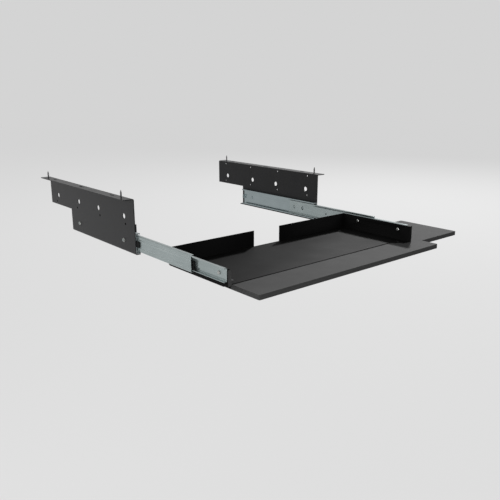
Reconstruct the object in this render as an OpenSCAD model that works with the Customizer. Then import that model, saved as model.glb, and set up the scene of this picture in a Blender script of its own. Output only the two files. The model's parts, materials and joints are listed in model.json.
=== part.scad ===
// Keyboard tray hung under a desk on two brackets with telescopic ball slides.
// Units are millimetres. X runs to the right, Y to the back, Z up.
// The origin is the centre of the four desk screws, on the underside of the desk.
// The tray is drawn as it stands in use: pulled out, with the mouse board drawn out to the right.

/* [Brackets] */
// Distance between the outer faces of the two bracket plates
bracket_span = 560; // [500:1:700]
// Length of the bracket along the desk
bracket_len = 434; // [400:1:500]
// Length of the lower part that carries the slide
bracket_low_len = 314; // [300:1:350]
// Height of the upper part
bracket_up_h = 68; // [66:0.5:72]
// Height of the whole bracket
bracket_h = 122.5; // [120:0.5:150]
// Plate thickness
plate_t = 2; // [1.6:0.1:2.4]
// Inside radius of the bracket's folds
bend_r = 1.5; // [1:0.1:1.8]
// Width of the top flange outside the plate
flange_w = 24.5; // [22:0.5:30]
// Width of the bottom lip inside the plate
lip_w = 10; // [6:0.5:11]
// Radius of the large holes
big_hole_r = 6; // [4:0.5:8]
// Depth of the large holes below the desk
big_hole_z = 43.5; // [40:0.5:46]
// Distance of the end large holes from the ends of the bracket
big_hole_end = 44.5; // [40:0.5:60]
// Distance from an end large hole to the next one
big_hole_step = 121; // [90:1:130]
// Radius of the small holes
small_hole_r = 1.6; // [1.2:0.1:3]
// Depth of the small holes below the desk
small_hole_z = 60; // [57:0.5:62]
// Distance of the first small hole from the front of the bracket
small_hole_front = 38.5; // [30:0.5:50]
// Distance of the last small hole from the back of the bracket
small_hole_back = 35.5; // [30:0.5:50]
// Radius of the pin holes under the fold
pin_hole_r = 2.2; // [1.5:0.1:2.4]
// Depth of the pin holes below the desk
pin_hole_z = 7; // [6:0.2:10]
// Height of the folded tab above the slide
tab_h = 17; // [10:1:18]
// Reach of the folded tab inside the plate
tab_w = 3; // [2:0.2:5]

/* [Desk screws] */
// Distance of the desk screws outside the plates
screw_out = 13; // [10:0.5:14]
// Distance of the front screw from the front of the bracket
screw_front = 27; // [20:1:40]
// Distance of the back screw from the back of the bracket
screw_back = 21; // [15:1:40]
// Radius of the threaded shank
desk_screw_r = 2.1; // [1.8:0.1:2.4]
// Radius of the plain neck inside the flange
desk_neck_r = 1.7; // [1.5:0.1:1.8]
// Length of the shank above the flange
desk_screw_up = 17; // [10:0.5:20]
// Radius of the desk screw's head
desk_head_r = 4.2; // [3.6:0.1:5]
// Width of the flange slots
slot_w = 5.2; // [4:0.1:6]
// Length of the flange slots
slot_len = 17.2; // [12:0.2:24]
// Distance of the slots outside the plates
slot_out = 11; // [9:0.5:14]
// Distance of the front slot from the front of the bracket
slot_front = 71; // [60:1:90]
// Distance of the back slot from the back of the bracket
slot_back = 58; // [55:1:90]

/* [Slides] */
// Length of the outer rail
rail_len = 305; // [290:1:340]
// Height of the outer rail
rail_h = 45; // [44:0.5:46]
// Thickness of the closed slide
slide_t = 12.7; // [12.5:0.1:13.2]
// Depth of the outer rail
rail_depth = 10.6; // [10:0.1:11]
// Height of the lips that keep the outer balls in
rail_lip = 3.1; // [2.6:0.1:3.2]
// Room for the moving members behind their back ends
end_room = 5; // [3:0.5:8]
// Height of the intermediate member
mid_h = 35; // [34:0.2:35.4]
// Height of the inner member
inner_h = 27; // [26:0.2:27.4]
// Sheet thickness of the slide members
rail_s = 1.2; // [1:0.1:1.3]
// Outside radius of the folds in the members
rail_bend = 2.2; // [2:0.1:2.4]
// How far short of the rail's length the tray is pulled out in this drawing
tray_short = 6; // [5:1:20]
// Share of the tray's way that the intermediate member goes
mid_share = 0.6667; // [0.6:0.0001:0.68]
// Diameter of the outer balls
ball_outer_d = 3; // [2.6:0.1:3.1]
// Diameter of the inner balls
ball_inner_d = 2; // [1.8:0.1:2.1]
// Reach of the front pads ahead of the outer rails
pad_out = 11; // [6:0.5:12]
// Height of the front pads
pad_h = 14; // [12:0.5:20]
// Width of the grooves rolled into the intermediate members
groove_w = 3.4; // [2:0.1:4]
// Depth of these grooves
groove_depth = 0.7; // [0.4:0.05:0.8]
// Gap between faces that slide past each other
run_gap = 0.4; // [0.3:0.05:0.5]
// Distance of the front rail screw from the front of the rail
rail_screw_front = 49; // [35:1:52]
// Distance of the back rail screw from the back of the rail
rail_screw_back = 35; // [30:1:60]
// Radius of the rail and wall screws
small_screw_r = 1.9; // [1.6:0.1:2]
// Radius of their heads
small_head_r = 3.6; // [3:0.1:4]
// Radius of the rail nuts' flanges
rail_nut_r = 4.6; // [4.2:0.1:5.4]
// Thickness of the rail nuts
rail_nut_t = 2.4; // [2:0.1:3]
// Gap between a screw and its hole
hole_gap = 0.3; // [0.2:0.05:0.5]

/* [Release levers] */
// Distance from the lever's finger to its rivet
lever_arm = 33; // [30:1:40]
// Thickness of the lever
lever_t = 2.5; // [2:0.1:2.6]
// Radius of the rivet
lever_pin_r = 1.4; // [1.2:0.1:1.6]
// Reach of the finger below the slide's middle
finger_drop = 11.6; // [9:0.2:11.8]
// Reach of the finger above the slide's middle
finger_rise = 5; // [4.4:0.2:8.2]
// Length of the finger along the slide
finger_w = 6; // [5:0.2:9]
// Length of the finger's foot beyond the finger at each end
finger_foot = 4; // [2:0.2:5]

/* [Tray pan] */
// Sheet thickness of the pan
pan_t = 1.5; // [1.2:0.1:1.8]
// Outside radius of the pan's folds
pan_bend = 1.8; // [1.7:0.1:2.6]
// How far the pan's top edge stays below the tops of the inner members
pan_below = 1.2; // [0:0.1:5]
// Distance of the wall's front end ahead of the inner member
wall_lead = 11; // [9:0.5:14]
// Length of the side walls
wall_len = 203; // [190:1:230]
// Width of the folded front end of each wall
wall_fold = 8.6; // [6:0.2:10]
// Height of that folded end above the board
fold_rise = 8; // [4:0.5:12]
// Distance of the floor's front edge behind the wall's front end
floor_back = 24; // [20:1:40]
// Width of the floor's front tab at the right wall
floor_tab = 32; // [28:1:60]
// Distance of the tab's screw from the right wall
tab_screw_in = 19; // [12:0.5:20]
// Distance of the tab's screw ahead of the floor's front edge
tab_screw_lead = 6; // [4:0.5:8]
// Width of the cable gap in the back edge
cable_gap = 78; // [50:1:120]
// Distance of the front wall screw behind the wall's front end
wall_screw_front = 33; // [28:1:40]
// Distance of the back wall screw behind the lever's rivet
wall_screw_back = 16.34; // [13:0.01:24]
// Distance of the pan's floor screws from its walls
pan_screw_side = 34; // [24:1:60]
// Distance of the pan's floor screws from its ends
pan_screw_end = 20; // [14:1:30]

/* [Boards] */
// Thickness of both boards
board_t = 10; // [9:0.5:16]
// Corner radius of both boards
board_r = 3; // [1:0.5:10]
// Gap between the bracket lip and the board's top
board_drop = 1; // [0.6:0.1:2]
// How far the left wall stands outside the board
board_left_in = 21.3; // [5:0.1:30]
// How far the board reaches outside the right wall
board_right_out = 37.7; // [35:0.1:60]
// Distance of the board's front edge ahead of the walls
board_lead = 51.5; // [40:0.5:90]
// Distance of the board's back edge behind the pan
board_tail = 3.5; // [1:0.5:20]
// How far the mouse board reaches out of the keyboard board
mouse_reach = 188; // [150:1:220]
// How much of the mouse board stays between its guides
mouse_keep = 72; // [60:1:90]
// Depth of the mouse board
mouse_depth = 170; // [140:1:172]
// Distance of the mouse board's front edge behind the board's front edge
mouse_setback = 67; // [55:0.5:68]
// Gap between the two boards
mouse_gap = 0.7; // [0.4:0.1:1.5]
// Sheet thickness of the guides
guide_t = 1.5; // [1.2:0.1:2]
// Width of the guide's flange under the keyboard board
guide_flange = 14; // [12:0.5:20]
// Width of the guide's lip under the mouse board
guide_lip = 9.6; // [6:0.2:12]
// Gap between the mouse board and the guide at its edge
guide_gap = 0.6; // [0.4:0.1:1]
// Distance of the guides' ends inside the keyboard board's right edge
guide_in = 7; // [3:0.5:20]
// Length of the guides
guide_len = 266; // [260:1:300]
// Length and reach of the stop lug at the guides' ends
stop_lug = 10; // [8:0.5:14]
// Distance of the guides' end screws from the guides' ends
guide_screw_end = 20; // [12:1:40]

/* [Hidden] */
$fn = 48;
eps = 0.01;
over = 1;
half_span = bracket_span / 2;
face_in = half_span - plate_t;
screw_x = half_span + screw_out;
screw_pitch_y = bracket_len - screw_front - screw_back;
front_y = -screw_pitch_y / 2 - screw_front;
back_y = front_y + bracket_len;
low_back_y = front_y + bracket_low_len;
seat_gap = 0.2;
press_gap = 0.1;
drive = [2, 0.9, 0.7];
desk_drive = [2.5, 1, 1.2];
slide_z = -bracket_h + plate_t + seat_gap + rail_h / 2;

// Slide sections, counted from the bracket's inner face
rail_back_y = front_y + rail_len;
member_len = rail_len - end_room;
tray_out = rail_len - tray_short;
mid_out = tray_out * mid_share;
head_h = 1.3;
mid_web = rail_s + head_h + run_gap + press_gap;
mid_step = 0.6;
mid_depth = rail_depth - mid_step;
inner_web = slide_t - rail_s;
cage_t = 0.6;
cage_web_gap = 0.3;
inner_open = mid_web + rail_s + cage_t + 2 * cage_web_gap;
mid_front = front_y - mid_out;
inner_front = front_y - tray_out;
race_outer_z = (rail_h / 2 - rail_s + mid_h / 2) / 2;
race_inner_z = (mid_h / 2 - rail_s + inner_h / 2) / 2;
race_outer_u = (mid_web + mid_depth) / 2;
race_inner_u = (inner_open + mid_depth) / 2;
rail_screw_y = [front_y + rail_screw_front, rail_back_y - rail_screw_back];
access_gap = 1.4;
access_r = small_head_r + access_gap;
nut_t = 1.9;
nut_wall = 2.1;
screw_end = 0.6;
lever_inset = 1.1;
lever_tip_y = mid_front - finger_w;
lever_pin_y = lever_tip_y + lever_arm;
lever_u = inner_open + lever_inset;

// Tray
wall_out = face_in - slide_t;
wall_in = wall_out - pan_t;
pan_top = slide_z + inner_h / 2 - pan_below;
wall_front = inner_front - wall_lead;
pan_back = wall_front + wall_len;
floor_front = wall_front + floor_back;
wall_screw_y = [wall_front + wall_screw_front, lever_pin_y + wall_screw_back];
board_top = -bracket_h - board_drop;
floor_top = board_top + pan_t;
board_under = board_top - board_t;
board_left = wall_out - board_left_in;
board_right = wall_out + board_right_out;
board_front = wall_front - board_lead;
board_back = pan_back + board_tail;
pan_screw_x = wall_in - pan_screw_side;
tab_screw_x = wall_in - tab_screw_in;
pan_screw_pos = [[-pan_screw_x, floor_front + pan_screw_end], [-pan_screw_x, pan_back - pan_screw_end],
    [tab_screw_x, floor_front - tab_screw_lead], [pan_screw_x, pan_back - pan_screw_end]];
wood_screw_r = 1.8;
wood_head_lip = 1.7;
wood_head_r = wood_screw_r + wood_head_lip;
wood_screw_in = 8;

// Mouse board
mouse_right = board_right + mouse_reach;
mouse_left = board_right - mouse_keep;
mouse_front = board_front + mouse_setback;
mouse_back = mouse_front + mouse_depth;
mouse_top = board_under - mouse_gap;
mouse_under = mouse_top - board_t;
guide_right = board_right - guide_in;
guide_left = guide_right - guide_len;
guide_low = mouse_under - guide_gap - guide_t;
guide_front_y = mouse_front - guide_gap - guide_t - guide_flange / 2;
guide_back_y = mouse_back + guide_gap + guide_t + guide_flange / 2;
guide_screw_x = [guide_left + guide_screw_end, (guide_left + guide_right) / 2,
    guide_right - guide_screw_end];
guide_screw_in = 7;
stop_head_r = 4;
stop_clear = 1;
stop_inset = guide_lip - guide_gap + stop_head_r + stop_clear;
mouse_stop_x = guide_right - stop_lug - stop_head_r - run_gap;
stop_screw_in = 6;

// Small helpers

// A block between two corners.
module block(a, b) {
    translate(a)
        cube([b[0] - a[0], b[1] - a[1], b[2] - a[2]]);
}

// A rectangle between two corners.
module patch(a, b) {
    translate(a)
        square([b[0] - a[0], b[1] - a[1]]);
}

// A cylinder along X from x0 to x1.
module rod_x(x0, x1, y, z, r) {
    translate([x0, y, z])
        rotate([0, 90, 0])
            cylinder(h = x1 - x0, r = r);
}

// A cylinder along Y from y0 to y1.
module rod_y(x, y0, y1, z, r) {
    translate([x, y1, z])
        rotate([90, 0, 0])
            cylinder(h = y1 - y0, r = r);
}

// A cylinder along Z from z0 to z1.
module rod_z(x, y, z0, z1, r) {
    translate([x, y, z0])
        cylinder(h = z1 - z0, r = r);
}

// A section in X and Z, drawn out along Y.
module along_y(y0, y1) {
    translate([0, y1, 0])
        rotate([90, 0, 0])
            linear_extrude(y1 - y0)
                children();
}

// A section in Y and Z, drawn out along X.
module along_x(x0, x1) {
    translate([x0, 0, 0])
        rotate([90, 0, 90])
            linear_extrude(x1 - x0)
                children();
}

// Quarter of a ring about a point, in the quarter that the two signs give: a fold in a sheet.
module fold(at, r_out, t, sx, sy) {
    translate(at)
        intersection() {
            difference() {
                circle(r = r_out);
                circle(r = r_out - t);
            }
            translate([sx > 0 ? 0 : -r_out, sy > 0 ? 0 : -r_out])
                square(r_out);
        }
}

// A cross-shaped driver recess along +Z from the origin.
module cross_recess(size) {
    reach = size[0];
    width = size[1];
    depth = size[2];
    for (turn = [0, 90])
        rotate([0, 0, turn])
            block([-reach, -width / 2, -depth], [reach, width / 2, over]);
}

// A slot along Y through a horizontal sheet.
module slot_z(x, y, z0, z1, width, length) {
    r = width / 2;
    run = length / 2 - r;
    rod_z(x, y - run, z0, z1, r);
    rod_z(x, y + run, z0, z1, r);
    block([x - r, y - run, z0], [x + r, y + run, z1]);
}

// Puts the left-hand piece on the right.
module right_hand() {
    mirror([1, 0, 0])
        children();
}

// Left-hand slide space: X counts from the bracket's inner face towards the tray.
module at_slide() {
    translate([-face_in, 0, slide_z])
        children();
}

// Brackets

// Top flange, fold and plate of the left bracket, in X and Z.
module bracket_upper_section() {
    patch([-half_span - flange_w, -plate_t], [-half_span - bend_r, 0]);
    fold([-half_span - bend_r, -plate_t - bend_r], bend_r + plate_t, plate_t, 1, 1);
    patch([-half_span, -bracket_up_h], [-face_in, -plate_t - bend_r]);
}

// Lower plate, fold and lip of the left bracket, in X and Z.
module bracket_lower_section() {
    patch([-half_span, -bracket_h + plate_t + bend_r], [-face_in, -bracket_up_h + eps]);
    fold([-face_in + bend_r, -bracket_h + plate_t + bend_r], bend_r + plate_t, plate_t, -1, -1);
    patch([-face_in + bend_r, -bracket_h], [-face_in + lip_w, -bracket_h + plate_t]);
}

// Evenly spaced places along the bracket, from the first inset to the last.
function spread(count, first, last) = [for (i = [0:count - 1])
    front_y + first + i * (bracket_len - first - last) / (count - 1)];

module bracket() {
    big_y = [front_y + big_hole_end, front_y + big_hole_end + big_hole_step,
        back_y - big_hole_end - big_hole_step, back_y - big_hole_end];
    tab_z = slide_z + rail_h / 2 + tab_w;
    color([0.22, 0.22, 0.23])
        difference() {
            union() {
                along_y(front_y, back_y)
                    bracket_upper_section();
                along_y(front_y, low_back_y)
                    bracket_lower_section();
                block([-half_span, front_y, tab_z], [-face_in + tab_w, front_y + plate_t, tab_z + tab_h]);
            }
            for (y = big_y)
                rod_x(-half_span - over, -face_in + over, y, -big_hole_z, big_hole_r);
            for (y = spread(4, small_hole_front, small_hole_back)) {
                rod_x(-half_span - over, -face_in + over, y, -small_hole_z, small_hole_r);
                rod_x(-half_span - over, -face_in + over, y, -pin_hole_z, pin_hole_r);
            }
            for (y = rail_screw_y)
                rod_x(-half_span - over, -face_in + over, y, slide_z, small_screw_r + hole_gap);
            for (y = spread(3, slot_front, slot_back))
                slot_z(-half_span - slot_out, y, -plate_t - over, over, slot_w, slot_len);
            for (side = [-1, 1])
                rod_z(-screw_x, side * screw_pitch_y / 2, -plate_t - over, over, desk_screw_r + hole_gap);
        }
}

module bracket_left() {
    bracket();
}

module bracket_right() {
    right_hand()
        bracket();
}

// Wood screw that stands up out of the flange, into the desk.
module desk_screw(side_x, side_y) {
    tip = 4;
    tip_r = 0.3;
    head = 2.6;
    taper = 1;
    translate([side_x * screw_x, side_y * screw_pitch_y / 2, -plate_t])
        color([0.72, 0.72, 0.7])
            difference() {
                union() {
                    translate([0, 0, -eps])
                        cylinder(h = plate_t + over, r = desk_neck_r);
                    translate([0, 0, plate_t])
                        cylinder(h = desk_screw_up - tip, r = desk_screw_r);
                    translate([0, 0, plate_t + desk_screw_up - tip])
                        cylinder(h = tip, r1 = desk_screw_r, r2 = tip_r);
                    translate([0, 0, -head])
                        cylinder(h = head, r1 = desk_head_r - taper, r2 = desk_head_r);
                }
                translate([0, 0, -head])
                    mirror([0, 0, 1])
                        cross_recess(desk_drive);
            }
}

module desk_screw_fl() {
    desk_screw(-1, -1);
}

module desk_screw_bl() {
    desk_screw(-1, 1);
}

module desk_screw_fr() {
    desk_screw(1, -1);
}

module desk_screw_br() {
    desk_screw(1, 1);
}

// Slides

// Upper half of a channel: outside of its web, end of its flange, half of its height.
module half_channel(web, open, half_h) {
    side = open > web ? 1 : -1;
    w0 = side > 0 ? web : web - rail_s;
    corner = web + side * rail_bend;
    patch([w0, -eps], [w0 + rail_s, half_h - rail_bend]);
    fold([corner, half_h - rail_bend], rail_bend, rail_s, -side, 1);
    patch([min(corner, open), half_h - rail_s], [max(corner, open), half_h]);
}

// Both halves of a section that is the same above and below its middle.
module both_halves() {
    children();
    mirror([0, 1])
        children();
}

// Outer rail: a channel open towards the tray, with lips that keep the balls in.
module outer_rail() {
    h = rail_h / 2;
    stop_t = 1.2;
    stop_half = 6;
    stop_short = 2;
    color([0.6, 0.63, 0.62])
        at_slide()
            difference() {
                union() {
                    along_y(front_y, rail_back_y)
                        both_halves() {
                            half_channel(0, rail_depth - rail_bend, h);
                            fold([rail_depth - rail_bend, h - rail_bend], rail_bend, rail_s, 1, 1);
                            patch([rail_depth - rail_s, h - rail_lip], [rail_depth, h - rail_bend]);
                        }
                    block([rail_s - eps, rail_back_y - seat_gap - stop_t, -stop_half],
                        [rail_depth - stop_short, rail_back_y - seat_gap, stop_half]);
                }
                for (y = rail_screw_y)
                    rod_x(-over, rail_s + over, y, 0, small_screw_r + hole_gap);
            }
}

module outer_rail_left() {
    outer_rail();
}

module outer_rail_right() {
    right_hand()
        outer_rail();
}

// Flat-headed screw from inside the rail, through the bracket's plate and its nut.
module rail_screw(y) {
    end = rail_nut_t + screw_end;
    color([0.75, 0.75, 0.73])
        at_slide()
            difference() {
                union() {
                    rod_x(-plate_t - end, rail_s + eps, y, 0, small_screw_r);
                    rod_x(rail_s, rail_s + head_h, y, 0, small_head_r);
                }
                translate([rail_s + head_h, y, 0])
                    rotate([0, 90, 0])
                        cross_recess(drive);
            }
}

module rail_screw_fl() {
    rail_screw(rail_screw_y[0]);
}

module rail_screw_bl() {
    rail_screw(rail_screw_y[1]);
}

module rail_screw_fr() {
    right_hand()
        rail_screw(rail_screw_y[0]);
}

module rail_screw_br() {
    right_hand()
        rail_screw(rail_screw_y[1]);
}

// Hexagon nut with a round flange, on the bracket's outer face.
module rail_nut(y) {
    flange = 1;
    color([0.74, 0.74, 0.72])
        at_slide()
            difference() {
                union() {
                    rod_x(-plate_t - flange, -plate_t, y, 0, rail_nut_r);
                    translate([-plate_t - rail_nut_t, y, 0])
                        rotate([0, 90, 0])
                            cylinder(h = rail_nut_t, r = small_screw_r + nut_wall, $fn = 6);
                }
                rod_x(-plate_t - rail_nut_t - over, -plate_t + over, y, 0, small_screw_r + press_gap);
            }
}

module rail_nut_fl() {
    rail_nut(rail_screw_y[0]);
}

module rail_nut_bl() {
    rail_nut(rail_screw_y[1]);
}

module rail_nut_fr() {
    right_hand()
        rail_nut(rail_screw_y[0]);
}

module rail_nut_br() {
    right_hand()
        rail_nut(rail_screw_y[1]);
}

// Plastic pad clipped into the mouth of the outer rail, with a round-ended head in front of it.
module rail_buffer() {
    half = pad_h / 2;
    tail = 12;
    shoulder = 1.5;
    peg_r = 1.1;
    face = mid_web - run_gap;
    round_r = 2;
    color([0.06, 0.06, 0.06])
        at_slide()
            difference() {
                union() {
                    block([rail_s, front_y - seat_gap - eps, -half + shoulder],
                        [face, front_y + tail, half - shoulder]);
                    along_x(0, face)
                        union() {
                            patch([front_y - pad_out, -half + round_r],
                                [front_y - seat_gap, half - round_r]);
                            patch([front_y - pad_out + round_r, -half], [front_y - seat_gap, half]);
                            for (z = [-half + round_r, half - round_r])
                                translate([front_y - pad_out + round_r, z])
                                    circle(r = round_r);
                        }
                }
                for (z = [-half / 2, half / 2])
                    rod_x(rail_s - over, mid_web, front_y + tail / 2, z, peg_r);
            }
}

module rail_buffer_left() {
    rail_buffer();
}

module rail_buffer_right() {
    right_hand()
        rail_buffer();
}

// Ball cage: a strip along each race, joined by a web over part of its length.
module ball_cage(y0, length, u, z, ball_d, pitch, strip, web, web_t, web_y0, web_y1) {
    margin = 2;
    count = floor((length - 2 * ball_d - 2 * margin) / pitch);
    first = (length - count * pitch) / 2;
    half_t = strip[1] / 2;
    color([0.8, 0.78, 0.7])
        at_slide()
            union() {
                for (s = [-1, 1]) {
                    block([u - strip[0] / 2, y0, s * z - half_t],
                        [u + strip[0] / 2, y0 + length, s * z + half_t]);
                    block([web, y0 + web_y0, s * z - half_t], [u, y0 + web_y1, s * z + half_t]);
                    for (i = [0:count])
                        translate([u, y0 + first + i * pitch, s * z])
                            sphere(d = ball_d, $fn = 24);
                }
                block([web, y0 + web_y0, -z], [web + web_t, y0 + web_y1, z]);
            }
}

// Cage between the outer rail and the intermediate member.
module outer_cage() {
    inset = 3;
    room = 11;
    pitch = 8.5;
    strip = [3.2, 1.2];
    web_clear = 4;
    length = rail_len - mid_out - room;
    web_y0 = rail_screw_front + small_head_r + web_clear;
    ball_cage(front_y + inset, length, race_outer_u, race_outer_z, ball_outer_d, pitch, strip,
        rail_s + run_gap, mid_web - rail_s - 2 * run_gap, web_y0, length);
}

module outer_cage_left() {
    outer_cage();
}

module outer_cage_right() {
    right_hand()
        outer_cage();
}

// Intermediate member: a channel inside the outer rail, with two grooves rolled into its web.
module mid_rail() {
    h = mid_h / 2;
    groove_z = mid_h / 4;
    groove_r = (groove_w * groove_w / 4 + groove_depth * groove_depth) / (2 * groove_depth);
    mid_back = mid_front + member_len;
    access_end = 20;
    color([0.62, 0.66, 0.65])
        at_slide()
            difference() {
                along_y(mid_front, mid_back)
                    both_halves()
                        half_channel(mid_web, mid_depth, h);
                for (z = [-groove_z, groove_z])
                    rod_y(mid_web + groove_depth - groove_r, mid_front - over, mid_back + over, z,
                        groove_r);
                for (y = [rail_screw_y[0], mid_back - access_end])
                    rod_x(mid_web - over, mid_web + rail_s + over, y, 0, access_r);
            }
}

module mid_rail_left() {
    mid_rail();
}

module mid_rail_right() {
    right_hand()
        mid_rail();
}

// Cage between the intermediate and inner members.
module inner_cage() {
    inset = 7;
    room = 10;
    pitch = 10;
    strip = [2.8, 1];
    web_share = 0.4;
    web_end = 10;
    length = member_len + mid_out - tray_out - room;
    ball_cage(mid_front + inset, length, race_inner_u, race_inner_z, ball_inner_d, pitch, strip,
        mid_web + rail_s + cage_web_gap, cage_t, length * web_share, length - web_end);
}

module inner_cage_left() {
    inner_cage();
}

module inner_cage_right() {
    right_hand()
        inner_cage();
}

// Inner member: a channel open towards the bracket, fixed to the pan's wall.
module inner_rail() {
    h = inner_h / 2;
    inner_back = inner_front + member_len;
    spare = 47;
    color([0.66, 0.7, 0.69])
        at_slide()
            difference() {
                along_y(inner_front, inner_back)
                    both_halves()
                        half_channel(slide_t, inner_open, h);
                for (y = concat(wall_screw_y, [inner_back - spare]))
                    rod_x(inner_web - over, slide_t + over, y, 0, small_screw_r + hole_gap);
                rod_x(inner_web - over, slide_t + over, lever_pin_y, 0, lever_pin_r + press_gap);
            }
}

module inner_rail_left() {
    inner_rail();
}

module inner_rail_right() {
    right_hand()
        inner_rail();
}

// Release lever inside the inner member, with its finger at the front.
module lever() {
    hub_wall = 2.8;
    hub = lever_pin_r + hub_wall;
    top = 4;
    foot = 3;
    brow = 2;
    color([0.05, 0.05, 0.05])
        at_slide()
            along_x(lever_u, lever_u + lever_t)
                difference() {
                    union() {
                        patch([lever_tip_y + finger_w / 2, -foot], [lever_pin_y, top]);
                        translate([lever_pin_y, 0])
                            circle(r = hub);
                        patch([lever_tip_y + brow / 2, -finger_drop + foot / 2],
                            [lever_tip_y + finger_w - brow / 2, finger_rise - brow / 2]);
                        patch([lever_tip_y, finger_rise - brow], [lever_tip_y + finger_w, finger_rise]);
                        patch([lever_tip_y - finger_foot, -finger_drop],
                            [lever_tip_y + finger_w + finger_foot, -finger_drop + foot]);
                        translate([lever_tip_y + finger_w - brow / 2, -foot])
                            difference() {
                                patch([-eps, -foot], [foot, eps]);
                                translate([foot, -foot])
                                    circle(r = foot);
                            }
                    }
                    translate([lever_pin_y, 0])
                        circle(r = lever_pin_r + hole_gap);
                }
}

module lever_left() {
    lever();
}

module lever_right() {
    right_hand()
        lever();
}

// Rivet the lever turns on, with a shoulder against the inner member.
module lever_pin() {
    head_lip = 1.2;
    head_t = 0.5;
    head_r = lever_pin_r + head_lip;
    color([0.75, 0.75, 0.73])
        at_slide()
            union() {
                rod_x(lever_u - run_gap - head_t, slide_t - press_gap, lever_pin_y, 0, lever_pin_r);
                rod_x(lever_u - run_gap - head_t, lever_u - run_gap, lever_pin_y, 0, head_r);
                rod_x(lever_u + lever_t + run_gap, inner_web, lever_pin_y, 0, head_r);
            }
}

module lever_pin_left() {
    lever_pin();
}

module lever_pin_right() {
    right_hand()
        lever_pin();
}

// Screw from inside the tray through the wall, the inner member and its nut.
module wall_screw(y) {
    head = slide_t + pan_t;
    rim = 1.2;
    crown = 0.8;
    taper = 1;
    color([0.78, 0.78, 0.76])
        at_slide()
            difference() {
                union() {
                    rod_x(inner_web - nut_t - screw_end, head + eps, y, 0, small_screw_r);
                    rod_x(head, head + rim, y, 0, small_head_r);
                    translate([head + rim - eps, y, 0])
                        rotate([0, 90, 0])
                            cylinder(h = crown, r1 = small_head_r, r2 = small_head_r - taper);
                }
                translate([head + rim + crown, y, 0])
                    rotate([0, 90, 0])
                        cross_recess(drive);
            }
}

module wall_screw_fl() {
    wall_screw(wall_screw_y[0]);
}

module wall_screw_bl() {
    wall_screw(wall_screw_y[1]);
}

module wall_screw_fr() {
    right_hand()
        wall_screw(wall_screw_y[0]);
}

module wall_screw_br() {
    right_hand()
        wall_screw(wall_screw_y[1]);
}

// Thin hexagon nut in the channel of the inner member.
module wall_nut(y) {
    color([0.74, 0.74, 0.72])
        at_slide()
            difference() {
                translate([inner_web - nut_t, y, 0])
                    rotate([0, 90, 0])
                        cylinder(h = nut_t, r = small_screw_r + nut_wall, $fn = 6);
                rod_x(inner_web - nut_t - over, inner_web + over, y, 0, small_screw_r + press_gap);
            }
}

module wall_nut_fl() {
    wall_nut(wall_screw_y[0]);
}

module wall_nut_bl() {
    wall_nut(wall_screw_y[1]);
}

module wall_nut_fr() {
    right_hand()
        wall_nut(wall_screw_y[0]);
}

module wall_nut_br() {
    right_hand()
        wall_nut(wall_screw_y[1]);
}

// Tray pan

// Floor edge, fold and wall on the right-hand side, in X and Z, from x0.
module pan_side_section(x0) {
    patch([x0, board_top], [wall_out - pan_bend, floor_top]);
    fold([wall_out - pan_bend, board_top + pan_bend], pan_bend, pan_t, 1, -1);
    patch([wall_in, board_top + pan_bend], [wall_out, pan_top]);
}

// Wall's front end on the right-hand side, folded outwards, in X and Y.
module wall_end_section() {
    fold([wall_in + pan_bend, wall_front + pan_bend], pan_bend, pan_t, -1, -1);
    patch([wall_in + pan_bend, wall_front], [wall_in + wall_fold, wall_front + pan_t]);
}

// Back edge in Y and Z: the floor turns up into the low back wall.
module pan_back_section() {
    fold([pan_back - pan_bend, board_top + pan_bend], pan_bend, pan_t, 1, -1);
    patch([pan_back - pan_t, board_top + pan_bend], [pan_back, pan_top]);
}

// Folded sheet: floor, side walls with folded front ends, back edge in two pieces.
module pan() {
    relief = 14;
    fold_y = pan_back - pan_bend;
    color([0.03, 0.03, 0.035])
        difference() {
            union() {
                for (s = [0, 1])
                    mirror([s, 0, 0]) {
                        along_y(floor_front, fold_y + eps)
                            pan_side_section(-eps);
                        block([wall_in, wall_front + pan_bend, board_top + pan_bend],
                            [wall_out, pan_back, pan_top]);
                        translate([0, 0, board_top + fold_rise])
                            linear_extrude(pan_top - board_top - fold_rise)
                                wall_end_section();
                        along_x(cable_gap / 2, wall_in + eps)
                            pan_back_section();
                    }
                along_y(wall_front + pan_bend, floor_front + eps)
                    pan_side_section(wall_in - floor_tab);
            }
            rod_z(wall_in - floor_tab, wall_front + pan_bend, board_top - over, floor_top + over, relief);
            for (y = wall_screw_y) {
                rod_x(-wall_out - over, -wall_in + over, y, slide_z, small_screw_r + hole_gap);
                rod_x(wall_in - over, wall_out + over, y, slide_z, small_screw_r + hole_gap);
            }
            for (p = pan_screw_pos)
                translate([p[0], p[1], board_top])
                    pan_sink();
        }
}

// Cut for a sunk head through the floor, with its base on the board's top.
module pan_sink() {
    gap = hole_gap / 2;
    translate([0, 0, -over])
        cylinder(h = over + eps, r = wood_screw_r + gap);
    cylinder(h = pan_t, r1 = wood_screw_r + gap, r2 = wood_head_r + gap);
    translate([0, 0, pan_t - eps])
        cylinder(h = over, r = wood_head_r + gap);
}

// Screw through the pan's floor into the board, its head level with the floor.
module pan_screw(p) {
    head = pan_t - seat_gap / 2;
    translate([p[0], p[1], board_top])
        color([0.74, 0.74, 0.72])
            difference() {
                union() {
                    translate([0, 0, -wood_screw_in])
                        cylinder(h = wood_screw_in + eps, r = wood_screw_r);
                    cylinder(h = head, r1 = wood_screw_r, r2 = wood_head_r);
                }
                translate([0, 0, head])
                    cross_recess(drive);
            }
}

module pan_screw_fl() {
    pan_screw(pan_screw_pos[0]);
}

module pan_screw_bl() {
    pan_screw(pan_screw_pos[1]);
}

module pan_screw_fr() {
    pan_screw(pan_screw_pos[2]);
}

module pan_screw_br() {
    pan_screw(pan_screw_pos[3]);
}

// Boards

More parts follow.
